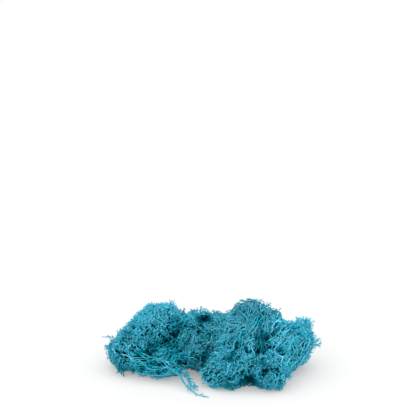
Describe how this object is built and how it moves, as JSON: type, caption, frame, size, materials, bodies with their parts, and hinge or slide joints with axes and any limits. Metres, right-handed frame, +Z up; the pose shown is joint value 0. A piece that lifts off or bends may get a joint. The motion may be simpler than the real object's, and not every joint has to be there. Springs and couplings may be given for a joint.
{
  "type": "reindeer moss clump",
  "caption": "Loose heap of dyed reindeer moss: rounded heads of finely forked, springy sprigs hooked into one another, resting on a flat surface.",
  "frame": {"origin": "bottom centre of the heap's bounding box, on the surface that it rests on", "axes": "+X to the right along the heap as it is seen, +Y away from the viewer, +Z up"},
  "size_m": [0.259, 0.1574, 0.079],
  "materials": {
    "dyed_lichen": null
  },
  "bodies": {
    "root": {"crest_head": "dyed_lichen", "left_head": "dyed_lichen", "front_left_head": "dyed_lichen", "valley_head": "dyed_lichen", "middle_head": "dyed_lichen", "main_head": "dyed_lichen", "flank_head": "dyed_lichen", "front_middle_head": "dyed_lichen", "front_right_head": "dyed_lichen", "right_head": "dyed_lichen", "back_right_head": "dyed_lichen", "back_left_head": "dyed_lichen"}
  },
  "joints": []
}
